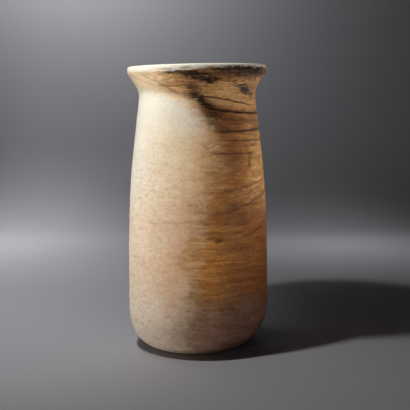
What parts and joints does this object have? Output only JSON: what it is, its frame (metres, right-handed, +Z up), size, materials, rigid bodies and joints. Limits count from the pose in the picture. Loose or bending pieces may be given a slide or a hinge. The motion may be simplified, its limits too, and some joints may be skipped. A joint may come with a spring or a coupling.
{
  "type": "stone vase",
  "caption": "Tall hollow vase of banded alabaster with a rounded flat-bottomed foot, a tapering body and a flared rim with a rounded lip.",
  "frame": {"origin": "centre of the body's circle at the height of the underside, which the vase stands on", "axes": "+Z up along the body's axis, +Y away from the viewer of the front, +X to the viewer's right"},
  "size_m": [0.106, 0.106, 0.2106],
  "materials": {
    "alabaster": "weathered, matte"
  },
  "bodies": {
    "root": {"vase": "alabaster"}
  },
  "joints": []
}
